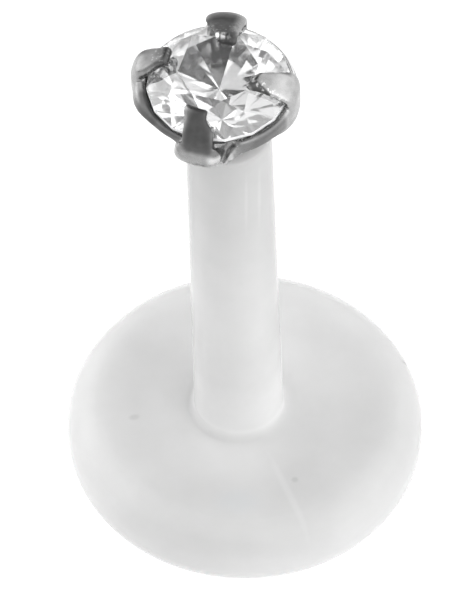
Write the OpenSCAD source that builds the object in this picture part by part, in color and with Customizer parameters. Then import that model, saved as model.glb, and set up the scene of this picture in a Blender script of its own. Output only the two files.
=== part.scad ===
// Labret stud with a push-fit head, in millimetres.
// The moulded post stands on its round back, with +Z up along the stem. The head is a
// claw setting with a pin, pressed into the bore of the stem. The front of the stud is
// towards -Y, and its left is towards -X.

/* [Back] */
// Diameter of the round back
back_d = 5; // [3:0.1:8]
// Thickness of the back
back_h = 1.1; // [0.6:0.05:2]
// Radius of the back's rounded edge, at most half its thickness
back_edge_r = 0.5; // [0.1:0.05:1]

/* [Stem] */
// Height of the stem above the back
stem_h = 6.32; // [4:0.05:12]
// Diameter of the stem at its top
stem_d = 1.2; // [1:0.05:1.6]
// How much wider the stem is at its foot than at its top
stem_draft = 0.05; // [0:0.01:0.2]
// Radius of the fillet where the stem meets the back
fillet_r = 0.1; // [0.05:0.01:0.3]
// Bevel around the stem's top edge
stem_bevel = 0.04; // [0.01:0.01:0.1]
// Lean of the stem to the left, in degrees
stem_lean = 1.3; // [0:0.1:3]
// Distance of the stem's foot to the left of the back's middle
stem_shift = 0.085; // [0:0.005:0.3]

/* [Bore and pin] */
// Diameter of the head's pin
pin_d = 0.4; // [0.3:0.05:0.6]
// Length of the pin's long side below the stem's top
pin_l = 2.6; // [1.5:0.05:3.5]
// Slant of the pin's snipped end, in degrees
snip_angle = 54; // [0:1:60]
// Gap around the pin, and between the head and the post
fit_gap = 0.02; // [0.01:0.005:0.04]
// Distance of the bore to the left of the stem's middle
bore_shift = 0.07; // [0:0.005:0.1]
// Plastic left between the bore's round end and the back
bore_floor = 0.08; // [0:0.01:0.5]

/* [Stone] */
// Diameter of the stone
stone_d = 2; // [1.5:0.05:3]
// Diameter of the stone's flat table
table_d = 1.12; // [0.8:0.01:1.7]
// Slope of the main facets above the girdle, in degrees
crown_angle = 34.5; // [28:0.5:38]
// Slope of the main facets below the girdle, in degrees
pavilion_angle = 41; // [38:0.5:43]
// Thickness of the stone's girdle
girdle_h = 0.05; // [0.03:0.005:0.1]
// Turn of the stone about its axis, in degrees
stone_turn = 5; // [0:1:45]

/* [Claws] */
// Number of claws; the rows below name the right, back, left and front one
claw_n = 4; // [3:1:6]
// Thickness of each claw beside the stone
claw_ts = [0.13, 0.19, 0.24, 0.16]; // [0.1:0.01:0.25]
// Width of each claw at its tip
tip_ws = [0.3, 0.32, 0.31, 0.31]; // [0.15:0.01:0.4]
// Width of each claw at the girdle
claw_ws = [0.5, 0.47, 0.44, 0.44]; // [0.3:0.01:0.6]
// Width of each claw's foot on the cup
foot_ws = [0.44, 0.54, 0.54, 0.66]; // [0.4:0.01:0.8]
// How far each claw reaches over the stone, inwards from the girdle
claw_reaches = [0.45, 0.45, 0.31, 0.29]; // [0.2:0.01:0.45]
// Turn of each claw about the head's axis from its even place, in degrees
claw_turns = [-12, -4, -15, -16]; // [-20:0.5:20]
// Sideways bend of each claw's tip, in degrees
claw_skews = [-13, -4, -7, -6]; // [-15:0.5:15]

/* [Cup] */
// Height of the stone's girdle above the stem's top
head_h = 1.08; // [1.05:0.01:1.6]
// Width of the rim outside the stone
rim_w = 0.09; // [0.06:0.01:0.2]
// Height of the rim between the claws, with its bevel
rim_h = 0.12; // [0.1:0.01:0.3]
// Distance of the rim to the right of the stone's axis
rim_shift = 0.03; // [0:0.005:0.05]
// Height of the bevel on the rim
rim_bevel = 0.08; // [0.04:0.01:0.2]
// Angle where each wide band of the rim starts; the rows below name the left and right one
band_starts = [176, 273]; // [0:1:360]
// Angle that each band spans
band_spans = [32, 55]; // [10:1:90]
// Width of each band outside the stone
band_ws = [0.17, 0.1]; // [0.05:0.01:0.25]
// Height of each band
band_hs = [0.15, 0.23]; // [0.1:0.01:0.35]
// Diameter of the collar that sits on the stem
collar_d = 0.8; // [0.6:0.02:1]
// Height of the collar
collar_h = 0.1; // [0.06:0.01:0.2]
// Tilt of the head to the left of the stem's line, in degrees
head_tilt = 0.5; // [0:0.1:2]
// Distance of the head to the left of its pin
head_shift = 0.03; // [0:0.005:0.08]

/* [Hidden] */
$fn = 64;

back_r = back_d / 2;
edge_r = min(back_edge_r, back_h / 2 - 0.02);
foot_d = stem_d + stem_draft;
stem_root = back_h / 2;
bore_d = pin_d + 2 * fit_gap;

// The stone's heights and radii, measured from the middle of its girdle
stone_r = stone_d / 2;
table_r = table_d / 2;
half_step = 22.5;
girdle_z = girdle_h / 2;
table_z = girdle_z + (stone_r - table_r) * tan(crown_angle);
star_r = (table_r * cos(half_step) + stone_r) / 2;
star_z = table_z - (star_r * cos(half_step) - table_r) * tan(crown_angle);
culet_z = -girdle_z - stone_r * tan(pavilion_angle);
lower_r = stone_r / 4;
lower_z = culet_z + lower_r * cos(half_step) * tan(pavilion_angle);

// The claws' outer form: a slope over the stone, a round shoulder, a side and a round belly
shoulder_r = 0.28 * stone_r;
shoulder_z = -girdle_z;
belly_r = 0.5 * stone_r;
belly_z = shoulder_z - 0.22 * stone_r;
nose_r = 0.08 * stone_r;

// Where the cup and the claws start, inside the collar
base_z = collar_h / 2 - head_h;
neck_r = 0.4 * collar_d;

// Stands its children on the foot of the stem, along the stem's line
module on_stem() {
    translate([-stem_shift, 0, back_h]) rotate([0, -stem_lean, 0]) children();
}

// Stands its children on the stem's top, over the bore
module on_bore() {
    on_stem() translate([-bore_shift, 0, stem_h]) children();
}

// Puts its children at the middle of the stone's girdle, along the head's axis
module in_head() {
    on_bore() rotate([0, -head_tilt, 0]) translate([-head_shift, 0, head_h]) children();
}

// Half section of the back: a flat plate with a rounded edge
module back_section() {
    square([back_r - edge_r, back_h]);
    translate([0, edge_r]) square([back_r, back_h - 2 * edge_r]);
    for (z = [edge_r, back_h - edge_r]) {
        translate([back_r - edge_r, z]) circle(edge_r);
    }
}

// Half section of the stem: a slight taper, a bevelled top and a root inside the back
module stem_section() {
    polygon([
        [0, -stem_root],
        [foot_d / 2, -stem_root],
        [foot_d / 2, 0],
        [stem_d / 2, stem_h - stem_bevel],
        [stem_d / 2 - stem_bevel, stem_h],
        [0, stem_h]
    ]);
}

// Half section of the hollow fillet around the stem's foot
module fillet_section() {
    difference() {
        translate([0, -stem_root]) square([foot_d / 2 + fillet_r, stem_root + fillet_r]);
        translate([foot_d / 2 + fillet_r, fillet_r]) circle(fillet_r);
    }
}

// Blind bore with a round end
module bore() {
    bottom = bore_floor + bore_d / 2;
    on_stem() translate([-bore_shift, 0, bottom]) {
        cylinder(h = stem_h, d = bore_d);
        sphere(d = bore_d);
    }
}

module post() {
    color([0.86, 0.87, 0.89]) difference() {
        union() {
            rotate_extrude() back_section();
            on_stem() rotate_extrude() stem_section();
            on_stem() rotate_extrude() fillet_section();
        }
        bore();
    }
}

// Room for the stone: its outline turned about the axis, with the gap added all round
module stone_room() {
    rotate_extrude() polygon([
        [0, culet_z - fit_gap],
        [lower_r + fit_gap, lower_z - fit_gap],
        [stone_r + fit_gap, -girdle_z - fit_gap],
        [stone_r + fit_gap, girdle_z + fit_gap],
        [star_r + fit_gap, star_z + fit_gap],
        [table_r, table_z + fit_gap],
        [0, table_z + table_r * 0.3]
    ]);
}

// Points on an arc about x, z from angle a to angle b
function arc(x, z, r, a, b, n) = [
    for (i = [0 : n]) let (w = a + (b - a) * i / n) [x + r * cos(w), z + r * sin(w)]
];

// Half section that a claw is cut from, with its tip at tip_r and its side at side_r
module claw_section(tip_r, side_r) {
    shoulder_x = side_r - shoulder_r;
    slope_x = shoulder_x + shoulder_r * sin(crown_angle);
    slope_z = shoulder_z + shoulder_r * cos(crown_angle);
    nose_x = tip_r + nose_r;
    bend_x = nose_x + nose_r * sin(crown_angle);
    nose_z = slope_z + (slope_x - bend_x) * tan(crown_angle) - nose_r * cos(crown_angle);
    polygon(concat(
        [[0, base_z], [neck_r, base_z]],
        arc(side_r - belly_r, belly_z, belly_r, -60, 0, 5),
        arc(shoulder_x, shoulder_z, shoulder_r, 0, 90 - crown_angle, 5),
        arc(nose_x, nose_z, nose_r, 90 - crown_angle, 180, 5),
        [[tip_r, 0], [0, 0]]
    ));
}

// Outline of a claw seen along its radius: a rounded foot, narrowing upwards
module claw_front(foot_w, claw_w) {
    half = [
        [foot_w * 0.3, base_z],
        [foot_w * 0.36, belly_z - belly_r * 0.9],
        [foot_w * 0.47, belly_z - belly_r * 0.65],
        [foot_w * 0.5, belly_z - belly_r * 0.4],
        [foot_w * 0.49, belly_z],
        [claw_w / 2, shoulder_z + shoulder_r * 0.2],
        [claw_w / 2, head_h]
    ];
    polygon(concat(half, [for (i = [len(half) - 1 : -1 : 0]) [-half[i].x, half[i].y]]));
}

// Outline of a claw seen from above: broad outside the girdle, narrowing to a round tip
module claw_plan(tip_r, tip_w, claw_w, skew) {
    turn_r = tip_r + tip_w / 2;
    tip_x = turn_r * cos(skew);
    tip_y = turn_r * sin(skew);
    polygon(concat(
        [
            [stone_r, -claw_w / 2],
            [stone_r, -stone_r],
            [2 * stone_r, -stone_r],
            [2 * stone_r, stone_r],
            [stone_r, stone_r],
            [stone_r, claw_w / 2]
        ],
        arc(tip_x, tip_y, tip_w / 2, 90 + skew, 270 + skew, 8)
    ));
}

// The claw at place i, before the stone's room is cut out
module claw(i) {
    k = i % len(foot_ws);
    tip_r = stone_r - claw_reaches[k];
    rotate([0, 0, i * 360 / claw_n + claw_turns[k]]) intersection() {
        rotate_extrude() claw_section(tip_r, stone_r + claw_ts[k]);
        rotate([90, 0, 90]) linear_extrude(2 * stone_r) claw_front(foot_ws[k], claw_ws[k]);
        union() {
            translate([0, 0, shoulder_z]) linear_extrude(2 * head_h)
                claw_plan(tip_r, tip_ws[k], claw_ws[k], claw_skews[k]);
            translate([0, -stone_r, -2 * head_h]) cube([2 * stone_r, stone_d, 2 * head_h + shoulder_z]);
        }
    }
}

// Half section of the cup between the claws, with a bevel above and below its rim
module cup_section() {
    rim_z = -girdle_z;
    under_bevel = 0.2 * rim_h;
    polygon([
        [0, base_z],
        [neck_r, base_z],
        [stone_r, rim_z - rim_h - under_bevel],
        [stone_r + rim_w, rim_z - rim_h],
        [stone_r + rim_w, rim_z - rim_bevel],
        [stone_r, rim_z],
        [0, rim_z]
    ]);
}

// A wide band at place k of the rim, with a bevel along its top. It starts inside the cup
// and stands a little lower than the rim.
module band(k) {
    root_r = 0.85 * stone_r;
    edge_x = stone_r + band_ws[k];
    top_z = -girdle_z - 0.1 * rim_h;
    foot_z = top_z - band_hs[k];
    bevel = 0.3 * band_ws[k];
    rotate([0, 0, band_starts[k]]) rotate_extrude(angle = band_spans[k]) polygon([
        [root_r, foot_z],
        [edge_x, foot_z],
        [edge_x, top_z - bevel],
        [edge_x - bevel, top_z],
        [root_r, top_z]
    ]);
}

// The pin with its snipped end, and the collar on the stem's top
module pin() {
    translate([0, 0, fit_gap]) cylinder(h = collar_h, d = collar_d);
    difference() {
        translate([0, 0, -pin_l]) cylinder(h = pin_l + fit_gap + collar_h, d = pin_d);
        translate([pin_d / 2, 0, -pin_l]) rotate([0, snip_angle, 0])
            translate([-2 * pin_l, -pin_d, -2 * pin_l]) cube([3 * pin_l, 2 * pin_d, 2 * pin_l]);
    }
}

module setting() {
    color([0.55, 0.55, 0.56]) {
        on_bore() pin();
        in_head() difference() {
            union() {
                translate([rim_shift, 0, 0]) rotate_extrude() cup_section();
                for (i = [0 : claw_n - 1]) claw(i);
                for (k = [0 : len(band_starts) - 1]) band(k);
            }
            stone_room();
        }
    }
}

// A ring of n points, the first at the angle start
function ring(n, r, z, start) = [
    for (i = [0 : n - 1]) [r * cos(start + i * 360 / n), r * sin(start + i * 360 / n), z]
];

// Round brilliant: table, 8 stars, 8 kites, 16 facets above the girdle, the girdle's 16
// sides, 16 facets below it and 8 mains that meet in the culet
module stone() {
    n = 8;
    points = concat(
        ring(n, table_r, table_z, 0),
        ring(n, star_r, star_z, half_step),
        ring(2 * n, stone_r, girdle_z, 0),
        ring(2 * n, stone_r, -girdle_z, 0),
        ring(n, lower_r, lower_z, half_step),
        [[0, 0, culet_z]]
    );
    // Where the star, upper girdle, lower girdle and lower rings start in the points
    s = n;
    u = 2 * n;
    g = 4 * n;
    p = 6 * n;
    culet = 7 * n;
    faces = concat(
        [[for (i = [n - 1 : -1 : 0]) i]],
        [for (i = [0 : n - 1]) [i, (i + 1) % n, s + i]],
        [for (i = [0 : n - 1]) [i, s + i, u + 2 * i, s + (i + n - 1) % n]],
        [for (i = [0 : n - 1]) [s + i, u + 2 * i + 1, u + 2 * i]],
        [for (i = [0 : n - 1]) [s + i, u + (2 * i + 2) % (2 * n), u + 2 * i + 1]],
        [for (i = [0 : 2 * n - 1])
            [u + i, u + (i + 1) % (2 * n), g + (i + 1) % (2 * n), g + i]],
        [for (i = [0 : n - 1]) [p + i, g + 2 * i, g + 2 * i + 1]],
        [for (i = [0 : n - 1]) [p + i, g + 2 * i + 1, g + (2 * i + 2) % (2 * n)]],
        [for (i = [0 : n - 1]) [culet, p + (i + n - 1) % n, g + 2 * i, p + i]]
    );
    color([0.93, 0.94, 0.96]) in_head() rotate([0, 0, stone_turn]) polyhedron(points, faces);
}

post();
setting();
stone();
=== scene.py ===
# Labret stud: a milky plastic post with a round back, and a clear stone in a grey metal head.
# Blender's lengths are in metres. Those in the dictionaries are in millimetres, and mm turns
# them into metres. Angles are in degrees.
import math

import bpy
import numpy as np
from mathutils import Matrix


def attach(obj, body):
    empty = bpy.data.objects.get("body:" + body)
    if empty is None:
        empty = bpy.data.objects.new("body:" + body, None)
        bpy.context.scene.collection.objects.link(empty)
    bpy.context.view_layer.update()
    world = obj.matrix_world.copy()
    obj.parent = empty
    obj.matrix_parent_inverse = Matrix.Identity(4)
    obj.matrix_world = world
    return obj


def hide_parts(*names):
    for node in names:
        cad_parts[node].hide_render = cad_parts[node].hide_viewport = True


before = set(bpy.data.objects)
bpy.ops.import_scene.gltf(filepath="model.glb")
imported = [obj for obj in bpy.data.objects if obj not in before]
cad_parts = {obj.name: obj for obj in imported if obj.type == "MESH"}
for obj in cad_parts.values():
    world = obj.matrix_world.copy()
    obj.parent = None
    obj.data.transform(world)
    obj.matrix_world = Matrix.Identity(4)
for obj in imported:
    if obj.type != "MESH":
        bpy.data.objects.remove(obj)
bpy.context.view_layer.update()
mm = 0.001
print("frame loaded")


# Shared tools
def turnAboutY(degrees):
    # 4 x 4 matrix that turns about the Y axis
    a = math.radians(degrees)
    m = np.eye(4)
    m[0, 0] = m[2, 2] = math.cos(a)
    m[0, 2] = math.sin(a)
    m[2, 0] = -math.sin(a)
    return m


def shiftBy(x, y, z):
    # 4 x 4 matrix that moves by x, y, z in millimetres
    m = np.eye(4)
    m[:3, 3] = x, y, z
    return m


def placed(matrix, points):
    # every point times the matrix, for an array that ends in x, y, z
    return points @ matrix[:3, :3].T + matrix[:3, 3]


def smoothStep(low, high, x):
    # 3t^2 - 2t^3, with t running from 0 at low to 1 at high
    t = np.clip((x - low) / (high - low), 0, 1)
    return t * t * (3 - 2 * t)


def resampled(points, count):
    # count points at even steps of length along a polyline
    points = np.asarray(points, float)
    run = np.concatenate([[0], np.cumsum(np.linalg.norm(np.diff(points, axis=0), axis=1))])
    at = np.linspace(0, 1, count) * run[-1]
    return np.stack([np.interp(at, run, column) for column in points.T], 1)


def arc(x, z, radius, start, end, count):
    # points x + r cos a, z + r sin a, with a from start to end in degrees
    a = np.radians(np.linspace(start, end, count))
    return np.stack([x + radius * np.cos(a), z + radius * np.sin(a)], 1)


def rowsBetween(corners, counts):
    # even steps from each corner to the next, with as many steps as counts says
    steps = [i + np.linspace(0, 1, n, endpoint=False) for i, n in enumerate(counts)]
    rows = np.concatenate(steps + [[len(counts)]])
    i = np.minimum(rows.astype(int), len(counts) - 1)
    t = (rows - i).reshape(-1, *[1] * (corners.ndim - 1))
    return corners[i] * (1 - t) + corners[i + 1] * t


def turned(section, columns, shift):
    # a half section of (radius, height) turned about the Z axis, with each of its rows moved
    # to the left by that row's shift
    turn = np.linspace(0, 2 * np.pi, columns, endpoint=False)
    radius, height = section[:, :1], section[:, 1:]
    x = radius * np.cos(turn) - shift[:, None]
    return np.stack([x, radius * np.sin(turn), height + 0 * turn], -1)


def meshOfRings(name, rings, material=None):
    # rings[i, j] is the point at row i and angle j, in millimetres. The columns close on
    # themselves, and each end row is drawn in to one point, so the surface has no hole.
    rows, columns = rings.shape[:2]
    inner = rings.reshape(-1, 3)
    ends = np.stack([rings[0].mean(0), rings[-1].mean(0)])
    points = np.concatenate([inner, ends]) * mm
    i, j = np.meshgrid(np.arange(rows - 1), np.arange(columns), indexing="ij")
    k = (j + 1) % columns
    here, above = i * columns, (i + 1) * columns
    quads = np.stack([here + j, here + k, above + k, above + j], -1).reshape(-1, 4)
    j = np.arange(columns)
    k = (j + 1) % columns
    last = (rows - 1) * columns
    low = np.stack([np.full(columns, rows * columns), k, j], 1)
    high = np.stack([np.full(columns, rows * columns + 1), last + j, last + k], 1)
    corners = np.concatenate([quads.ravel(), low.ravel(), high.ravel()]).astype(np.int32)
    sizes = np.concatenate([np.full(len(quads), 4), np.full(2 * columns, 3)])
    starts = np.concatenate([[0], np.cumsum(sizes)[:-1]]).astype(np.int32)
    mesh = bpy.data.meshes.new(name)
    mesh.vertices.add(len(points))
    mesh.vertices.foreach_set("co", points.astype(np.float32).ravel())
    mesh.loops.add(len(corners))
    mesh.loops.foreach_set("vertex_index", corners)
    mesh.polygons.add(len(sizes))
    mesh.polygons.foreach_set("loop_start", starts)
    mesh.polygons.foreach_set("use_smooth", np.ones(len(sizes), bool))
    mesh.update(calc_edges=True)
    mesh.validate()
    piece = bpy.data.objects.new(name, mesh)
    bpy.context.scene.collection.objects.link(piece)
    if material:
        mesh.materials.append(material)
    return piece


def newMaterial(name):
    # a new material with its tree, its Principled shader and its Object coordinates
    material = bpy.data.materials.new(name)
    material.use_nodes = True
    tree = material.node_tree
    shader = tree.nodes["Principled BSDF"]
    place = tree.nodes.new("ShaderNodeTexCoord").outputs["Object"]
    return material, tree, shader, place


# where most of a noise's values lie
noiseLow, noiseHigh = 0.3, 0.7


def noise(tree, place, size, detail, rough=0.5):
    # cloudy noise whose blots are about size millimetres across
    node = tree.nodes.new("ShaderNodeTexNoise")
    node.inputs["Scale"].default_value = 1 / (size * mm)
    node.inputs["Detail"].default_value = detail
    node.inputs["Roughness"].default_value = rough
    tree.links.new(place, node.inputs["Vector"])
    return node.outputs["Fac"]


def ramp(tree, value, stops):
    # a colour ramp with stops of (place, grey or colour)
    node = tree.nodes.new("ShaderNodeValToRGB")
    points = node.color_ramp.elements
    for point, (where, colour) in zip(points, stops):
        point.position = where
        point.color = (*([colour] * 3 if isinstance(colour, (int, float)) else colour), 1)
    tree.links.new(value, node.inputs["Fac"])
    return node.outputs["Color"]


def remapped(tree, value, fromLow, fromHigh, toLow, toHigh, kind="SMOOTHSTEP"):
    # the value's place between two limits, carried over to the same place between two others,
    # eased at both ends unless kind is LINEAR, and held at the limits beyond them
    node = tree.nodes.new("ShaderNodeMapRange")
    node.interpolation_type = kind
    limits = {"From Min": fromLow, "From Max": fromHigh, "To Min": toLow, "To Max": toHigh}
    for socket, number in limits.items():
        node.inputs[socket].default_value = number
    tree.links.new(value, node.inputs["Value"])
    return node.outputs["Result"]


def maths(tree, kind, a, b=None):
    # the sum, product or other result that kind names, of one or two sockets or numbers
    node = tree.nodes.new("ShaderNodeMath")
    node.operation = kind
    for socket, value in zip(node.inputs, (a, b)):
        if value is None:
            continue
        if isinstance(value, (int, float)):
            socket.default_value = value
        else:
            tree.links.new(value, socket)
    return node.outputs[0]


def mixed(tree, factor, a, colour):
    # colour socket a, with a fixed colour mixed in by factor. Of the node's sockets, inputs 6
    # and 7 and output 2 are those for colours.
    node = tree.nodes.new("ShaderNodeMix")
    node.data_type = "RGBA"
    tree.links.new(factor, node.inputs["Factor"])
    tree.links.new(a, node.inputs[6])
    node.inputs[7].default_value = (*colour, 1)
    return node.outputs[2]


def bumped(tree, shader, height, depth):
    # bump of depth millimetres on the shader's normal
    node = tree.nodes.new("ShaderNodeBump")
    node.inputs["Distance"].default_value = depth * mm
    tree.links.new(height, node.inputs["Height"])
    tree.links.new(node.outputs["Normal"], shader.inputs["Normal"])


# Where things stand
# The stem stands a little to the left of the back's middle and leans to the left, the bore
# is off the stem's line, and the head sits a little askew.
stance = {
    "backHeight": 1.1,
    "stemShift": 0.085,
    "stemLean": 1.3,
    "stemHeight": 6.32,
    "boreShift": 0.07,
    "headTilt": 0.5,
    "headShift": 0.03,
    "headHeight": 1.08,
}
onStem = shiftBy(-stance["stemShift"], 0, stance["backHeight"]) @ turnAboutY(-stance["stemLean"])
onBore = onStem @ shiftBy(-stance["boreShift"], 0, stance["stemHeight"])
headPlace = shiftBy(-stance["headShift"], 0, stance["headHeight"])
inHead = onBore @ turnAboutY(-stance["headTilt"]) @ headPlace


# Milky plastic
plasticLook = {
    "colour": (0.65, 0.65, 0.65),
    # the clouds' size, and how much darker and lighter they are than the colour
    "cloud": 0.7,
    "cloudContrast": 0.025,
    "seeThrough": 0.2,
    "refraction": 1.47,
    "roughness": 0.16,
    "gloss": 0.15,
    "scatter": 1.0,
    "scatterRadius": 1.0,
    # size and depth of the unevenness of its surface
    "grain": 0.4,
    "grainDepth": 0.002,
    # painted light and shade: how light the plastic is painted at heights above the floor, and at places
    # from left to right
    "upwards": [
        (0.0, 1.0), (0.95, 0.99), (1.09, 1.05), (1.25, 1.32), (2.3, 1.04), (4.5, 0.97), (7.4, 0.82),
    ],
    "paintedLightRightwards": [
        (-2.5, 1.07), (-1.5, 0.995), (-0.7, 0.985), (0.5, 1.0), (1.5, 1.01), (2.5, 0.93),
    ],
    # marks and painted light: name, place, radii, turn, and how much lighter or darker they are. Most are
    # painted light and shade; the mould line is drawn as a lighter line, and the specks and nick are marks
    # in the plastic
    "marksAndPaintedLight": [
        # painted shade at the front, and painted light round the stem and at the back
        ("front", (0.0, -1.75, 1.0), (2.0, 1.1, 0.7), 0, -0.08),
        ("round the stem", (-0.1, 0.1, 1.05), (1.9, 1.9, 0.35), 0, 0.12),
        ("back", (-0.3, 1.5, 1.05), (2.0, 1.1, 0.35), 0, 0.08),
        # painted highlights on the stem, then painted shade down its right side and along its edges
        ("left streak", (0.014, -0.55, 6.5), (0.035, 0.3, 0.85), 0, 0.05),
        ("right streak", (0.196, -0.5, 6.5), (0.035, 0.3, 0.85), 0, 0.05),
        ("stem's right side", (0.4, -0.2, 6.0), (0.5, 0.9, 5.0), 0, -0.06),
        ("stem's right edge", (0.52, 0.0, 5.4), (0.4, 1.2, 4.2), 0, -0.14),
        ("stem's left edge", (-0.84, 0.0, 5.6), (0.24, 1.2, 4.4), 0, -0.17),
        # the mould line drawn as a lighter line, then specks and a nick in the plastic
        ("mould line", (0.62, -1.59, 1.0), (0.98, 0.08, 0.5), -68, 0.06),
        ("left speck", (-1.56, -0.25, 1.1), (0.11, 0.07, 0.12), 15, -0.14),
        ("right speck", (0.70, -1.34, 1.1), (0.07, 0.07, 0.12), 0, -0.14),
        ("nick", (2.24, 0.86, 0.85), (0.09, 0.06, 0.12), 20, -0.3),
    ],
    # a faint tint near the front: place, radii, colour and strength
    "blueSpot": ((-0.1, -1.71, 1.1), (0.45, 0.3, 0.3), (0.635, 0.648, 0.658), 0.6),
}


def spot(tree, place, centre, radii, turn=0, core=0.25):
    # 1 in the core of an ellipsoid, falling smoothly to 0 at its skin. The distance from the
    # centre is counted in radii.
    mapping = tree.nodes.new("ShaderNodeMapping")
    mapping.vector_type = "TEXTURE"
    mapping.inputs["Location"].default_value = [c * mm for c in centre]
    mapping.inputs["Rotation"].default_value = (0, 0, math.radians(turn))
    mapping.inputs["Scale"].default_value = [r * mm for r in radii]
    tree.links.new(place, mapping.inputs["Vector"])
    distance = tree.nodes.new("ShaderNodeVectorMath")
    distance.operation = "LENGTH"
    tree.links.new(mapping.outputs["Vector"], distance.inputs[0])
    return remapped(tree, distance.outputs["Value"], core, 1, 1, 0)


def stepped(tree, length, table):
    # the first value of a table of (length, value), plus each straight rise from one row to
    # the next as far as the length has come
    value = table[0][1]
    for (low, a), (high, b) in zip(table, table[1:]):
        rise = remapped(tree, length, low * mm, high * mm, 0, b - a, "LINEAR")
        value = maths(tree, "ADD", value, rise)
    return value


def makePlastic():
    # The base colour is a clouded grey with the blue spot. It is multiplied by the tables' two values of
    # painted light and shade, for height and from left to right, with the marks added to their product:
    # mostly painted light and shade, besides the mould line, specks and nick.
    material, tree, shader, place = newMaterial("milky_plastic")
    look = plasticLook
    cloud = noise(tree, place, look["cloud"], detail=5, rough=0.6)
    dark, pale = [tuple(c * share for c in look["colour"])
                  for share in (1 - look["cloudContrast"], 1 + look["cloudContrast"])]
    colour = ramp(tree, cloud, [(noiseLow, dark), (noiseHigh, pale)])
    centre, radii, blue, strength = look["blueSpot"]
    tint = maths(tree, "MULTIPLY", spot(tree, place, centre, radii), strength)
    colour = mixed(tree, tint, colour, blue)
    split = tree.nodes.new("ShaderNodeSeparateXYZ")
    tree.links.new(place, split.inputs["Vector"])
    # painted light and shade, by height and from left to right
    light = stepped(tree, split.outputs["Z"], look["upwards"])
    light = maths(tree, "MULTIPLY", light, stepped(tree, split.outputs["X"], look["paintedLightRightwards"]))
    # the marks: painted light and shade, the mould line, specks and a nick
    for _, centre, radii, turn, strength in look["marksAndPaintedLight"]:
        patch = maths(tree, "MULTIPLY", spot(tree, place, centre, radii, turn), strength)
        light = maths(tree, "ADD", light, patch)
    lit = tree.nodes.new("ShaderNodeVectorMath")
    lit.operation = "SCALE"
    tree.links.new(colour, lit.inputs[0])
    tree.links.new(light, lit.inputs["Scale"])
    tree.links.new(lit.outputs["Vector"], shader.inputs["Base Color"])
    shader.inputs["Roughness"].default_value = look["roughness"]
    shader.inputs["IOR"].default_value = look["refraction"]
    shader.inputs["Specular IOR Level"].default_value = look["gloss"]
    shader.inputs["Transmission Weight"].default_value = look["seeThrough"]
    shader.inputs["Subsurface Weight"].default_value = look["scatter"]
    shader.inputs["Subsurface Radius"].default_value = (1, 1, 1)
    shader.inputs["Subsurface Scale"].default_value = look["scatterRadius"] * mm
    bumped(tree, shader, noise(tree, place, look["grain"], detail=2), look["grainDepth"])
    return material


# The post
postShape = {
    "backRadius": 2.5,
    "edgeRadius": 0.5,
    "footRadius": 0.625,
    "topRadius": 0.6,
    "fillet": 0.1,
    "topBevel": 0.04,
    # the bore's floor is its lowest height, and it is round over floorArc degrees
    "boreRadius": 0.22,
    "boreFloor": 0.08,
    "floorArc": 84,
    # the bevel at the bore's mouth, and how far down its straight wall starts
    "mouthWidth": 0.03,
    "mouthDepth": 0.01,
    "mouthLength": 0.03,
    # the back's innermost ring, and how far from the fillet its flat top ends
    "hubRadius": 0.05,
    "flatMargin": 0.06,
    "columns": 300,
    # how many rows of points each stretch of the half section has
    "rows": {
        "under": 10, "edge": 24, "flat": 14, "fillet": 9, "wall": 60, "shoulder": 6, "bore": 50, "end": 12,
    },
}


def makePost(material):
    # The back, stem and bore are one skin: a half section turned about the axis, whose
    # centre moves from the back's middle to the stem's line and on to the bore's.
    p, s, rows = postShape, stance, postShape["rows"]
    corner = p["backRadius"] - p["edgeRadius"]
    top = s["backHeight"]
    filletOut = p["footRadius"] + p["fillet"]
    under = np.linspace(p["hubRadius"], corner, rows["under"])
    flat = np.linspace(corner, filletOut + p["flatMargin"], rows["flat"])[1:]
    back = np.concatenate([
        np.stack([under, np.zeros_like(under)], 1),
        arc(corner, p["edgeRadius"], p["edgeRadius"], -90, 0, rows["edge"])[1:],
        arc(corner, top - p["edgeRadius"], p["edgeRadius"], 0, 90, rows["edge"]),
        np.stack([flat, np.full_like(flat, top)], 1),
    ])
    bevel = p["topBevel"]
    high = s["stemHeight"]
    outside = np.concatenate([
        arc(filletOut, p["fillet"], p["fillet"], -90, -180, rows["fillet"]),
        np.stack([
            np.linspace(p["footRadius"], p["topRadius"], rows["wall"])[1:],
            np.linspace(p["fillet"], high - bevel, rows["wall"])[1:],
        ], 1),
        arc(p["topRadius"] - bevel, high - bevel, bevel, 0, 90, rows["shoulder"])[1:],
    ])
    bore = p["boreRadius"]
    low = p["boreFloor"] + bore
    down = np.linspace(high - p["mouthLength"], low, rows["bore"])
    inside = np.concatenate([
        [[bore + p["mouthWidth"], high], [bore, high - p["mouthDepth"]]],
        np.stack([np.full_like(down, bore), down], 1),
        arc(0, low, bore, 0, -p["floorArc"], rows["end"])[1:],
    ])
    stem = np.concatenate([outside, inside])
    bored = np.repeat([0.0, 1.0], [len(outside), len(inside)])

    # the back's rows slide to the stem's foot on the flat top
    inward = (corner - back[:, 0]) / (corner - filletOut)
    slide = np.where(np.isclose(back[:, 1], top), np.clip(inward, 0, 1), 0)
    backRings = turned(back, p["columns"], slide * s["stemShift"])
    stemRings = placed(onStem, turned(stem, p["columns"], bored * s["boreShift"]))
    return meshOfRings("milky_post", np.concatenate([backRings, stemRings]), material)


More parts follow.
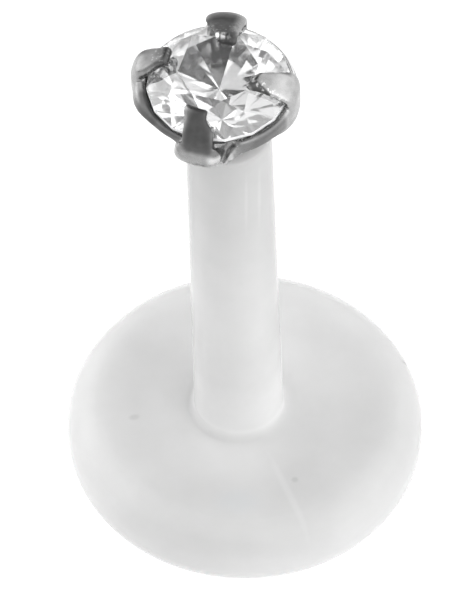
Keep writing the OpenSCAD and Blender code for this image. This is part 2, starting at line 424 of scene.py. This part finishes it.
# Grey metal
metalLook = {
    # how much light the metal gives back where no row below says otherwise, its own tone; the rows below
    # paint light and shade over it
    "toneAndPaintedLight": 0.25,
    "gloss": 0.2,
    # size of the mottle, and its darkest and lightest share of the tone
    "mottle": 0.12,
    "mottleShares": (0.9, 1.08),
    # roughness where it is smooth and where it is worn, the size of the worn spots, and how
    # much rougher it is at the dark tone than at the dull one
    "smooth": 0.2,
    "worn": 0.34,
    "wornSize": 0.08,
    "dull": 0.22,
    "darkTone": 0.03,
    "dullTone": 0.25,
    # how metallic it is at the dark tone, and the tone from which it is all metal
    "darkMetallic": 0.3,
    "metalTone": 0.12,
    # how much lighter the bright specks are, their size, and the noise where they fade in
    "specks": 0.3,
    "speckSize": 0.05,
    "speckNoise": (0.58, 0.68),
    # size and depth of the unevenness of its surface
    "grain": 0.06,
    "grainDepth": 0.0015,
    # how fast the rows named for the hollow get narrower downwards
    "hollowSlope": 1.1,
    # darker and lighter places, which are painted shade in recesses and under claws, painted reflections,
    # and painted highlights and glints: name, lowest and highest angle, radius and height in the head,
    # soft edge, and how much light the metal gives back there
    "places": [
        ("hollow", 0, 360, 0.0, 1.1, -0.95, -0.12, 0.03, 0.9),
        ("back of the hollow", 45, 135, 0.0, 1.1, -0.95, -0.12, 0.03, 0.03),
        ("back rim", 5, 70, 0.98, 1.2, -0.07, 0.1, 0.02, 0.75),
        ("back rim, left", 100, 150, 0.98, 1.2, -0.07, 0.1, 0.02, 0.75),
        ("front claw's foot", 236, 271, 0.7, 1.4, -1.0, -0.1, 0.08, 0.29),
        ("front claw's left side", 234, 243, 0.95, 1.3, -0.36, 0.05, 0.03, 0.3),
        ("front claw's face", 243, 266, 0.6, 1.3, -0.14, 0.6, 0.08, 0.09),
        ("front claw's right side", 265, 271, 0.98, 1.3, -0.4, 0.0, 0.03, 0.2),
        ("front claw's foot, right", 262, 272, 0.85, 1.3, -0.6, -0.2, 0.05, 0.6),
        ("recess", 268, 274, 0.8, 1.06, -0.6, -0.22, 0.02, 0.32),
        ("recess top", 266, 282, 0.8, 1.06, -0.26, 0.0, 0.02, 0.25),
        ("band's end", 272, 276, 1.0, 1.2, -0.5, -0.33, 0.02, 0.45),
        ("band's end, middle", 276, 280, 1.0, 1.2, -0.34, -0.18, 0.02, 0.5),
        ("band's end, top", 278, 282, 1.0, 1.2, -0.2, -0.02, 0.02, 0.38),
        ("left side", 150, 187, 1.1, 1.4, -0.3, 0.2, 0.1, 0.4),
        ("left band", 194, 240, 1.0, 1.3, -0.3, 0.1, 0.12, 0.125),
        ("left inner edge", 177, 215, 0.96, 1.13, -0.3, 0.2, 0.04, 0.105),
        ("left claw's back side", 145, 161, 0.6, 1.3, -0.1, 0.6, 0.06, 0.1),
        ("left claw's tip", 135, 182, 0.5, 1.08, 0.0, 0.6, 0.08, 0.16),
        ("left claw's front side", 174, 186, 0.6, 1.12, 0.0, 0.5, 0.04, 0.27),
        ("left claw's end", 135, 182, 0.5, 0.86, 0.0, 0.6, 0.1, 0.1),
        ("right claw", -38, 8, 0.4, 1.02, -0.1, 0.6, 0.03, 0.43),
        ("right claw's tip", -42, 8, 0.4, 0.82, 0.0, 0.6, 0.08, 0.29),
        ("right side", -33, 8, 0.98, 1.25, -0.6, 0.3, 0.06, 0.39),
        ("right claw's back edge", -4, 10, 0.4, 1.0, 0.0, 0.6, 0.03, 0.2),
        ("right claw's front edge", -42, -31, 0.5, 1.05, 0.0, 0.6, 0.02, 0.08),
        ("right band", 285, 327, 1.0, 1.3, -0.6, 0.1, 0.06, 0.21),
        ("right band, middle", 293, 318, 1.0, 1.3, -0.6, 0.1, 0.08, 0.165),
        ("back claw", 48, 112, 0.3, 1.4, 0.06, 0.6, 0.05, 0.03),
        ("back claw's top", 72, 112, 0.96, 1.4, 0.0, 0.6, 0.06, 0.16),
        ("back claw's slope", 46, 112, 0.3, 0.84, 0.0, 0.6, 0.08, 0.09),
        ("back claw's right side", 55, 74, 0.6, 1.4, -0.3, 0.5, 0.06, 0.28),
        ("glint", 77, 85, 0.42, 0.52, 0.2, 0.6, 0.02, 0.9),
        ("glint", 88, 94, 0.43, 0.53, 0.2, 0.6, 0.02, 0.8),
    ],
    # where the metal has bright specks, partly scratches and partly painted glints: the same kind of rows
    "scratchesAndGlints": [
        ("right claw's front edge", -44, -26, 0.5, 1.08, 0.0, 0.6, 0.03, 1.0),
        ("back claw's slope", 46, 112, 0.3, 0.75, 0.0, 0.6, 0.06, 0.5),
        ("left claw's tip", 135, 175, 0.5, 0.95, 0.0, 0.6, 0.04, 0.4),
    ],
}


def makeMetal():
    # The colour is the tone, which carries painted light, shade, reflections and glints, times the mottle,
    # plus bright specks, partly scratches and partly painted glints. The metal's skin carries the tone and
    # the specks' places as attributes, worked out in makeSetting.
    material, tree, shader, place = newMaterial("grey_metal")
    look = metalLook
    attributes = []
    for name in ("toneAndPaintedLight", "scratchesAndGlints"):
        node = tree.nodes.new("ShaderNodeAttribute")
        node.attribute_name = name
        attributes.append(node.outputs["Fac"])
    toneAndPaintedLight, scratchesAndGlints = attributes
    mottle = noise(tree, place, look["mottle"], detail=4)
    mottle = remapped(tree, mottle, noiseLow, noiseHigh, *look["mottleShares"])
    speck = noise(tree, place, look["speckSize"], detail=1)
    speck = remapped(tree, speck, *look["speckNoise"], 0, look["specks"])
    speck = maths(tree, "MULTIPLY", speck, scratchesAndGlints)
    grey = maths(tree, "ADD", maths(tree, "MULTIPLY", toneAndPaintedLight, mottle), speck)
    tree.links.new(grey, shader.inputs["Base Color"])
    metallic = remapped(tree, toneAndPaintedLight, look["darkTone"], look["metalTone"], look["darkMetallic"], 1)
    tree.links.new(metallic, shader.inputs["Metallic"])
    worn = noise(tree, place, look["wornSize"], detail=3)
    worn = remapped(tree, worn, noiseLow, noiseHigh, look["smooth"], look["worn"])
    dull = remapped(tree, toneAndPaintedLight, look["darkTone"], look["dullTone"], look["dull"], 0)
    tree.links.new(maths(tree, "ADD", worn, dull), shader.inputs["Roughness"])
    shader.inputs["Specular IOR Level"].default_value = look["gloss"]
    bumped(tree, shader, noise(tree, place, look["grain"], detail=3), look["grainDepth"])
    return material


# The head's metal
# Lengths run from the middle of the stone's girdle, and the stone's own radius is 1. The
# pin's and the collar's run from the top of the stem.
settingShape = {
    # where the cup and the claws start
    "baseHeight": -1.03,
    # at is a claw's angle round the head, reach how far it goes over the stone, thick its
    # thickness beside it, and tip, waist and foot its widths. skew is the sideways bend of
    # its tip and slope its fall towards the girdle. square and blunt say how square its
    # section and its end are.
    "claws": {
        "right": {
            "at": -12.0, "reach": 0.48, "thick": 0.13, "tip": 0.30, "waist": 0.52, "foot": 0.44,
            "skew": -13, "slope": 34.5, "square": 3.2, "blunt": 2.0,
        },
        "back": {
            "at": 84.0, "reach": 0.61, "thick": 0.19, "tip": 0.32, "waist": 0.57, "foot": 0.54,
            "skew": -6, "slope": 26.0, "square": 2.4, "blunt": 2.6,
        },
        "left": {
            "at": 165.0, "reach": 0.31, "thick": 0.24, "tip": 0.31, "waist": 0.44, "foot": 0.54,
            "skew": -1, "slope": 34.5, "square": 3.0, "blunt": 3.0,
        },
        "front": {
            "at": 254.0, "reach": 0.29, "thick": 0.16, "tip": 0.33, "waist": 0.44, "foot": 0.67,
            "skew": -5, "slope": 34.5, "square": 4.5, "blunt": 8.0,
        },
    },
    "clawForm": {
        "shoulderRadius": 0.28,
        "shoulderHeight": -0.025,
        # the belly's arc starts and the nose's ends at an angle from the level line
        "bellyRadius": 0.5,
        "bellyHeight": -0.245,
        "bellyFrom": -60,
        "noseRadius": 0.08,
        "noseTo": 175,
        "gap": 0.022,
        # corners of the inner line, in the cup and beside the girdle, and how far short of
        # the tip it ends
        "inCup": [(0.2, -0.98), (0.6, -0.5), (0.99, -0.13)],
        "atGirdle": [(1.012, -0.045), (1.018, 0.057)],
        "innerShort": 0.015,
        # half the width at heights, as a share of the foot's, and the waist's own height
        "footShares": [(-1.03, 0.30), (-0.695, 0.36), (-0.57, 0.47), (-0.445, 0.5), (-0.245, 0.49)],
        "waistHeight": 0.03,
        # how far the tip's end is rounded off: 1 draws it in to a point
        "tipRounding": 0.85,
        # how much of the skew the tip's end may have, as a share of the skew at its centre
        "skewLimit": 1.3,
        # points of the arcs and over the stone, which the rows are then spaced along: so many
        # up to the shoulder, and so many on to the tip
        "points": {"belly": 14, "shoulder": 14, "nose": 12, "over": 16},
        "rows": (40, 60),
        "columns": 40,
    },
    "cup": {
        "neck": 0.32,
        "cone": 0.79,
        "lip": 1.012,
        "round": 0.8,
        # the bevel under the rim, how far over it the upright wall starts, and how far below
        # the rim's top the lip's inner wall does
        "underBevel": 0.02,
        "wallRise": 0.03,
        "lipDrop": 0.01,
        # the rim's radius, foot and top at angles round the head: it flares beside the left
        # claw, and on the right of the front claw it is a deep band with a slanted end
        "rimOut": [
            (0, 1.10), (20, 1.07), (45, 1.05), (90, 1.06), (135, 1.06), (150, 1.10), (165, 1.17),
            (180, 1.20), (190, 1.195), (198, 1.165), (207, 1.12), (215, 1.092), (232, 1.075),
            (250, 1.06), (266, 0.98), (271, 0.98), (273, 1.09), (312, 1.09), (328, 1.10),
            (340, 1.12), (350, 1.12),
        ],
        "rimFoot": [
            (0, -0.20), (30, -0.13), (90, -0.12), (150, -0.13), (180, -0.17), (198, -0.18),
            (215, -0.165), (232, -0.15), (262, -0.40), (272, -0.50), (286, -0.25), (312, -0.25),
            (328, -0.30), (345, -0.26),
        ],
        "rimTop": [
            (0, -0.04), (150, -0.02), (170, 0.03), (198, -0.02), (232, -0.045), (290, -0.03),
            (330, -0.02),
        ],
        # how far the rim's rows turn from foot to top, and the share of it at angles
        "slant": 12,
        "slantShares": [(240, 0), (270, 1), (300, 1), (340, 0)],
        # the stone's hollow: its upper edge and its two lower corners
        "hollowTop": -0.045,
        "hollow": [(0.28, -0.72), (0.02, -0.925)],
        "hubRadius": 0.05,
        # rows of points under the cup, up the rim, over its round and down the hollow
        "rows": {"below": [6, 40, 8], "wall": 20, "round": 12, "inside": [4, 30, 12]},
        "columns": 360,
    },
    # the pin's snip is the slant of its cut end, and the end's rows have shares of its radius
    # from endShares' first to its last
    "pin": {
        "radius": 0.2, "top": 0.1, "length": 2.6, "snip": 54, "endShares": (0.97, 0.1),
        "rows": {"wall": 60, "end": 10}, "columns": 60,
    },
    "collar": {
        "radius": 0.4, "low": 0.02, "high": 0.12, "bend": 0.02, "hubRadius": 0.05,
        "bendRows": 5, "columns": 96,
    },
    # the stone's outline above its girdle
    "crown": {"radius": [0, 0.56, 0.7587, 1.0], "height": [0.3274, 0.3274, 0.2305, 0.025]},
    # the one skin over all of it: the size of its faces, and how it is smoothed
    "skin": {"grain": 0.0172, "smoothing": 0.5, "passes": 4},
}


def crownHeight(r):
    # height of the stone's outline over the radius r
    crown = settingShape["crown"]
    return np.interp(r, crown["radius"], crown["height"])


def clawRings(c):
    # A rounded section carried along two lines: the claw's outer line, up its belly, round
    # its shoulder and down to its nose, and its inner line, inside the cup and over the
    # stone. The section is |u|^n + |v|^n = 1, with v from inner to outer line, u sideways.
    f, count = settingShape["clawForm"], settingShape["clawForm"]["points"]
    side = 1 + c["thick"]
    tip = 1 - c["reach"]
    slope = math.radians(c["slope"])
    shoulderX = side - f["shoulderRadius"]
    slopeX = shoulderX + f["shoulderRadius"] * math.sin(slope)
    slopeZ = f["shoulderHeight"] + f["shoulderRadius"] * math.cos(slope)
    noseX = tip + f["noseRadius"]
    bendX = noseX + f["noseRadius"] * math.sin(slope)
    noseZ = slopeZ + (slopeX - bendX) * math.tan(slope) - f["noseRadius"] * math.cos(slope)
    lowOuter = np.concatenate([
        [[settingShape["cup"]["neck"], settingShape["baseHeight"]]],
        arc(side - f["bellyRadius"], f["bellyHeight"], f["bellyRadius"], f["bellyFrom"], 0,
            count["belly"]),
        [[side, f["shoulderHeight"]]],
    ])
    highOuter = np.concatenate([
        arc(shoulderX, f["shoulderHeight"], f["shoulderRadius"], 0, 90 - c["slope"],
            count["shoulder"]),
        arc(noseX, noseZ, f["noseRadius"], 90 - c["slope"], f["noseTo"], count["nose"]),
    ])
    over = np.linspace(1.0, tip + f["innerShort"], count["over"])
    highInner = np.concatenate([
        f["inCup"][-1:],
        f["atGirdle"],
        np.stack([over, crownHeight(over) + f["gap"]], 1),
    ])
    low, high = f["rows"]
    outer = np.concatenate([resampled(lowOuter, low), resampled(highOuter, high)[1:]])
    inner = np.concatenate([resampled(f["inCup"], low), resampled(highInner, high)[1:]])
    middle, reach = (outer + inner) / 2, (outer - inner) / 2

    # half widths: by height up to the girdle, then by radius to the tip
    r, z = middle.T
    heights, shares = np.array(f["footShares"]).T
    byHeight = np.interp(z, [*heights, f["waistHeight"]], [*(shares * c["foot"]), c["waist"] / 2])
    tipCentre = tip + c["tip"] / 2
    byRadius = np.interp(r, [tipCentre, 1.0], [c["tip"] / 2, c["waist"] / 2])
    half = np.where(np.arange(len(r)) < low, byHeight, np.minimum(byHeight, byRadius))
    inTip = np.clip((tipCentre - r) / (tipCentre - tip), 0, 1)
    half *= (1 - f["tipRounding"] * inTip ** c["blunt"]) ** (1 / c["blunt"])
    bend = np.clip((1 - r) / (1 - tipCentre), 0, f["skewLimit"])
    aside = bend * tipCentre * math.sin(math.radians(c["skew"]))

    w = np.linspace(0, 2 * np.pi, f["columns"], endpoint=False)
    power = 2 / c["square"]
    u = np.sign(np.cos(w)) * np.abs(np.cos(w)) ** power
    v = np.sign(np.sin(w)) * np.abs(np.sin(w)) ** power
    radius = middle[:, :1] + reach[:, :1] * v
    height = middle[:, 1:] + reach[:, 1:] * v
    across = half[:, None] * u + aside[:, None]
    # what is left of the radius along the claw, and never less than a hundredth
    along = np.sqrt(np.maximum(radius ** 2 - across ** 2, 0.01 ** 2))
    turn = math.radians(c["at"])
    x = along * math.cos(turn) - across * math.sin(turn)
    y = along * math.sin(turn) + across * math.cos(turn)
    return placed(inHead, np.stack([x, y, height], -1))


def cupRings():
    # A half section turned about the head's axis, whose corners move with the angle: up the
    # cone, out under the rim, up the rim, over a quarter of an ellipse to the lip, and down
    # the hollow of the stone.
    # The rim's rows turn with their height, which slants the end of the deep band.
    f, rows = settingShape["cup"], settingShape["cup"]["rows"]
    base = settingShape["baseHeight"]
    turn = np.linspace(0, 360, f["columns"], endpoint=False)
    still = np.ones_like(turn)
    foot = np.interp(turn, *np.array(f["rimFoot"]).T, period=360)
    top = np.interp(turn, *np.array(f["rimTop"]).T, period=360)
    slant = f["slant"] * np.interp(turn, *np.array(f["slantShares"]).T)
    t = np.linspace(0, 1, rows["wall"])[:, None]
    rim = np.interp(turn - slant * t, *np.array(f["rimOut"]).T, period=360)
    drop = f["round"] * (rim[-1] - f["lip"]) + f["wallRise"]
    wall = np.stack([rim, (foot + f["wallRise"]) * (1 - t) + (top - drop) * t], 1)
    w = np.linspace(0, np.pi / 2, rows["round"])[1:, None]
    over = np.stack([f["lip"] + (rim[-1] - f["lip"]) * np.cos(w), top - drop + drop * np.sin(w)], 1)
    below = np.array([
        [f["hubRadius"] * still, base * still],
        [f["neck"] * still, base * still],
        [f["neck"] + f["cone"] * (foot - base), foot - f["underBevel"]],
        [rim[0] - f["underBevel"], foot],
    ])
    inside = np.array([
        [f["lip"] * still, top - f["lipDrop"]],
        [f["lip"] * still, f["hollowTop"] * still],
        *[[radius * still, height * still] for radius, height in f["hollow"]],
    ])
    below, inside = rowsBetween(below, rows["below"]), rowsBetween(inside, rows["inside"])
    section = np.concatenate([below, wall, over, inside])
    radius, height = section[:, 0], section[:, 1]
    a = np.radians(turn)
    return placed(inHead, np.stack([radius * np.cos(a), radius * np.sin(a), height], -1))


def pinRings():
    # A round pin whose end is a slanted plane: the wall's rows end where they meet it, and
    # the end's rows shrink towards the middle on the plane.
    f = settingShape["pin"]
    turn = np.linspace(0, 2 * np.pi, f["columns"], endpoint=False)
    x, y = f["radius"] * np.cos(turn), f["radius"] * np.sin(turn)
    slant = math.tan(math.radians(f["snip"]))
    low = -f["length"] + (f["radius"] - x) * slant
    t = np.linspace(0, 1, f["rows"]["wall"])[:, None]
    wall = np.stack([x + 0 * t, y + 0 * t, f["top"] + (low - f["top"]) * t], -1)
    shrink = np.linspace(*f["endShares"], f["rows"]["end"])[:, None]
    height = -f["length"] + (f["radius"] - x * shrink) * slant
    end = np.stack([x * shrink, y * shrink, height], -1)
    return placed(onBore, np.concatenate([wall, end]))


def collarRings():
    # a short round block with its edges rounded
    f = settingShape["collar"]
    edge = f["radius"] - f["bend"]
    half = np.concatenate([
        [[f["hubRadius"], f["low"]]],
        arc(edge, f["low"] + f["bend"], f["bend"], -90, 0, f["bendRows"]),
        arc(edge, f["high"] - f["bend"], f["bend"], 0, 90, f["bendRows"]),
        [[f["hubRadius"], f["high"]]],
    ])
    return placed(onBore, turned(half, f["columns"], np.zeros(len(half))))


def valueAt(points, start, places):
    # A value at points in millimetres: inside each place it takes the place's value,
    # blended over its soft edge. The weight is a product of smooth steps in the angle,
    # radius and height about the head's axis. The hollow's places get narrower downwards.
    p = placed(np.linalg.inv(inHead), points)
    angle = np.degrees(np.arctan2(p[:, 1], p[:, 0]))
    radius, height = np.hypot(p[:, 0], p[:, 1]), p[:, 2]
    result = np.full(len(p), float(start))
    for name, a, b, rLow, rHigh, zLow, zHigh, soft, value in places:
        off = np.abs((angle - (a + b) / 2 + 180) % 360 - 180) - (b - a) / 2
        weight = smoothStep(soft, -soft, np.radians(off)) if b - a < 360 else np.ones(len(p))
        if "hollow" in name:
            rHigh = rHigh + (height - settingShape["cup"]["hollowTop"]) * metalLook["hollowSlope"]
        for at, low, high in ((radius, rLow, rHigh), (height, zLow, zHigh)):
            weight = weight * smoothStep(-soft, soft, at - low) * smoothStep(-soft, soft, high - at)
        result = result * (1 - weight) + value * weight
    return result


def makeSetting(material):
    # The claws, cup, collar and pin are cast or soldered into one. Their closed skins are
    # laid together a thousand times full size, drawn over with one fine skin, smoothed so
    # that the corners run into each other, and brought back to size.
    skin = settingShape["skin"]
    parts = [cupRings(), pinRings(), collarRings()]
    parts += [clawRings(c) for c in settingShape["claws"].values()]
    pieces = [meshOfRings("metal_part", rings) for rings in parts]
    for piece in pieces:
        count = len(piece.data.vertices)
        points = np.zeros(count * 3, np.float32)
        piece.data.vertices.foreach_get("co", points)
        piece.data.vertices.foreach_set("co", points / mm)
    with bpy.context.temp_override(active_object=pieces[0], selected_editable_objects=pieces):
        bpy.ops.object.join()
    rough = pieces[0]
    remesh = rough.modifiers.new("skin", "REMESH")
    remesh.mode = "VOXEL"
    remesh.voxel_size = skin["grain"]
    smooth = rough.modifiers.new("smooth", "SMOOTH")
    smooth.factor = skin["smoothing"]
    smooth.iterations = skin["passes"]
    bpy.context.view_layer.update()
    done = bpy.data.meshes.new_from_object(rough.evaluated_get(bpy.context.evaluated_depsgraph_get()))
    bpy.data.objects.remove(rough)
    points = np.zeros(len(done.vertices) * 3, np.float32)
    done.vertices.foreach_get("co", points)
    done.vertices.foreach_set("co", points * mm)
    # the tone with its painted light and shade, and the places of the specks, partly scratches and partly
    # painted glints, become attributes of the skin
    for name, start, places in (("toneAndPaintedLight", metalLook["toneAndPaintedLight"], "places"), ("scratchesAndGlints", 0, "scratchesAndGlints")):
        values = valueAt(points.reshape(-1, 3), start, metalLook[places])
        done.attributes.new(name, "FLOAT", "POINT").data.foreach_set("value", values.astype(np.float32))
    done.polygons.foreach_set("use_smooth", np.ones(len(done.polygons), bool))
    done.update()
    done.name = "metal_setting"
    done.materials.clear()
    done.materials.append(material)
    piece = bpy.data.objects.new("metal_setting", done)
    bpy.context.scene.collection.objects.link(piece)
    return piece


# The stone
stoneLook = {
    "colour": (0.99, 0.992, 0.995),
    "refraction": 2.16,
    "clear": 0.96,
    # least and most roughness, the size of the hazy spots, and the noise between which it runs
    "haze": (0.035, 0.085),
    "hazeSize": 0.2,
    "hazeNoise": (0.3, 0.75),
    # size and depth of the unevenness that its polish leaves
    "polish": 0.03,
    "polishDepth": 0.00002,
    # the girdle is frosted: half its height, its soft edge, and how clear and rough it is
    "girdle": 0.026,
    "girdleEdge": 0.002,
    "girdleClear": 0.15,
    "girdleRough": 0.4,
}


def makeCrystal():
    # Clear, with the haze and the girdle's frost added up in its roughness. The girdle is
    # where a point's height, its offset from the girdle's middle times the head's axis, is
    # nearly 0.
    material, tree, shader, place = newMaterial("clear_stone")
    look = stoneLook
    offset = tree.nodes.new("ShaderNodeVectorMath")
    offset.operation = "SUBTRACT"
    tree.links.new(place, offset.inputs[0])
    offset.inputs[1].default_value = inHead[:3, 3] * mm
    height = tree.nodes.new("ShaderNodeVectorMath")
    height.operation = "DOT_PRODUCT"
    tree.links.new(offset.outputs["Vector"], height.inputs[0])
    height.inputs[1].default_value = inHead[:3, 2]
    away = maths(tree, "ABSOLUTE", height.outputs["Value"])
    girdle = remapped(tree, away, look["girdle"] * mm, (look["girdle"] + look["girdleEdge"]) * mm, 1, 0)
    clear = remapped(tree, girdle, 0, 1, look["clear"], look["girdleClear"], "LINEAR")
    tree.links.new(clear, shader.inputs["Transmission Weight"])
    haze = noise(tree, place, look["hazeSize"], detail=3)
    haze = remapped(tree, haze, *look["hazeNoise"], *look["haze"])
    frost = maths(tree, "MULTIPLY", girdle, look["girdleRough"])
    tree.links.new(maths(tree, "ADD", haze, frost), shader.inputs["Roughness"])
    shader.inputs["Base Color"].default_value = (*look["colour"], 1)
    shader.inputs["IOR"].default_value = look["refraction"]
    bumped(tree, shader, noise(tree, place, look["polish"], detail=2), look["polishDepth"])
    return material


# Build and assemble
plastic = makePlastic()
metal = makeMetal()
crystal = makeCrystal()

post = makePost(plastic)
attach(post, "root")
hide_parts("post")
print("post made")

setting = makeSetting(metal)
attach(setting, "root")
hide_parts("setting")
print("setting made,", len(setting.data.polygons), "faces")

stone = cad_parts["stone"]
stone.data.materials.clear()
stone.data.materials.append(crystal)
print("stone dressed")


# Floor, light and camera
studio = {
    # the paper: its grey, its own glow, its size, how far below the stud it lies, and the
    # size and strength of its clouds
    "floor": 0.3,
    "floorGlow": 0.9,
    "floorSize": 3000,
    "floorDrop": 0.002,
    "floorClouds": 10,
    "floorContrast": 0.005,
    "floorRoughness": 0.9,
    "floorGloss": 0.1,
    # the tent: its light low down and overhead, the heights between which it changes, as the
    # sine of the elevation, and the strength of all of it
    "horizon": 1.3,
    "ceiling": 1.4,
    "wallFoot": 0.1,
    "wallTop": 0.5,
    "strength": 0.6,
    # soft boxes: angle round the stud from its right, height, inner and outer half angle, light
    "boxes": [(150, 20, 8, 44, 3.2), (330, 22, 8, 44, 2.0), (30, 20, 8, 40, 1.3), (300, 50, 6, 34, 1.6)],
    # dim places behind the stud: angle, height, inner and outer half angle, light left
    "dims": [(90, 53, 10, 26, 0.1), (90, 14, 10, 28, 0.4)],
}


def makeFloor():
    # a square sheet of pale paper that glows, just below the stud
    half, low = studio["floorSize"] / 2 * mm, -studio["floorDrop"] * mm
    mesh = bpy.data.meshes.new("floor")
    corners = [(x * half, y * half, low) for x, y in ((-1, -1), (1, -1), (1, 1), (-1, 1))]
    mesh.from_pydata(corners, [], [(0, 1, 2, 3)])
    floor = bpy.data.objects.new("floor", mesh)
    bpy.context.scene.collection.objects.link(floor)
    material, tree, shader, place = newMaterial("floor_paper")
    clouds = noise(tree, place, studio["floorClouds"], detail=2)
    stops = [(0, studio["floor"] * (1 - studio["floorContrast"])), (1, studio["floor"])]
    tree.links.new(ramp(tree, clouds, stops), shader.inputs["Base Color"])
    shader.inputs["Roughness"].default_value = studio["floorRoughness"]
    shader.inputs["Specular IOR Level"].default_value = studio["floorGloss"]
    shader.inputs["Emission Color"].default_value = (1, 1, 1, 1)
    shader.inputs["Emission Strength"].default_value = studio["floorGlow"]
    mesh.materials.append(material)


def lobe(tree, direction, angle, height, inner, outer):
    # 1 within inner degrees of a direction, falling to 0 at outer degrees: a smooth step of
    # the cosine of the angle between them
    a, h = math.radians(angle), math.radians(height)
    dot = tree.nodes.new("ShaderNodeVectorMath")
    dot.operation = "DOT_PRODUCT"
    tree.links.new(direction, dot.inputs[0])
    dot.inputs[1].default_value = (math.cos(a) * math.cos(h), math.sin(a) * math.cos(h), math.sin(h))
    far, near = math.cos(math.radians(outer)), math.cos(math.radians(inner))
    return remapped(tree, dot.outputs["Value"], far, near, 0, 1)


def makeLight():
    # A light tent, whose light is a smooth step of the height from its horizon to its
    # ceiling. Soft boxes at its sides are added to it, and dim places behind the stud
    # multiply it.
    world = bpy.data.worlds.new("light_tent")
    bpy.context.scene.world = world
    world.use_nodes = True
    tree = world.node_tree
    direction = tree.nodes.new("ShaderNodeTexCoord").outputs["Generated"]
    split = tree.nodes.new("ShaderNodeSeparateXYZ")
    tree.links.new(direction, split.inputs["Vector"])
    light = remapped(tree, split.outputs["Z"], studio["wallFoot"], studio["wallTop"],
                     studio["horizon"], studio["ceiling"])
    for angle, height, inner, outer, strength in studio["boxes"]:
        box = maths(tree, "MULTIPLY", lobe(tree, direction, angle, height, inner, outer), strength)
        light = maths(tree, "ADD", light, box)
    for angle, height, inner, outer, left in studio["dims"]:
        dim = lobe(tree, direction, angle, height, inner, outer)
        light = maths(tree, "MULTIPLY", light, remapped(tree, dim, 0, 1, 1, left, "LINEAR"))
    background = tree.nodes["Background"]
    tree.links.new(light, background.inputs["Color"])
    background.inputs["Strength"].default_value = studio["strength"]


view = {
    "elevation": 53.2,
    "distance": 250,
    # pixels to a millimetre, and the pixel of the picture where the aim falls
    "scale": 70.9,
    "aim": (0, 0, 0.55),
    "pixel": (245, 426.1),
    "picture": (470, 600),
    # the sensor spans the longer side of the picture, and nothing shows outside the clip
    "sensor": 36,
    "clip": (10, 20000),
}


def makeCamera():
    # The camera looks along +Y and down by the elevation. Its lens gives scale pixels a
    # millimetre, and it stands where the aim falls on its pixel of the picture.
    wide, high = view["picture"]
    a = math.radians(view["elevation"])
    back = np.array([0, -math.cos(a), math.sin(a)])
    above = np.array([0, math.sin(a), math.cos(a)])
    right = np.array([1.0, 0, 0])
    x = (view["pixel"][0] - wide / 2) / view["scale"]
    y = -(view["pixel"][1] - high / 2) / view["scale"]
    place = np.array(view["aim"]) - x * right - y * above + view["distance"] * back
    data = bpy.data.cameras.new("camera")
    data.sensor_fit = "AUTO"
    data.sensor_width = view["sensor"]
    data.lens = view["scale"] * view["distance"] * view["sensor"] / high
    data.clip_start, data.clip_end = [length * mm for length in view["clip"]]
    camera = bpy.data.objects.new("camera", data)
    camera.location = place * mm
    camera.rotation_euler = (math.pi / 2 - a, 0, 0)
    bpy.context.scene.collection.objects.link(camera)
    bpy.context.scene.camera = camera


makeFloor()
makeLight()
makeCamera()
scene = bpy.context.scene
scene.view_settings.view_transform = "Standard"
# enough bounces for light to find its way out of the stone
scene.cycles.max_bounces = 24
scene.cycles.transmission_bounces = 20
scene.cycles.glossy_bounces = 12
print("floor, light and camera set")
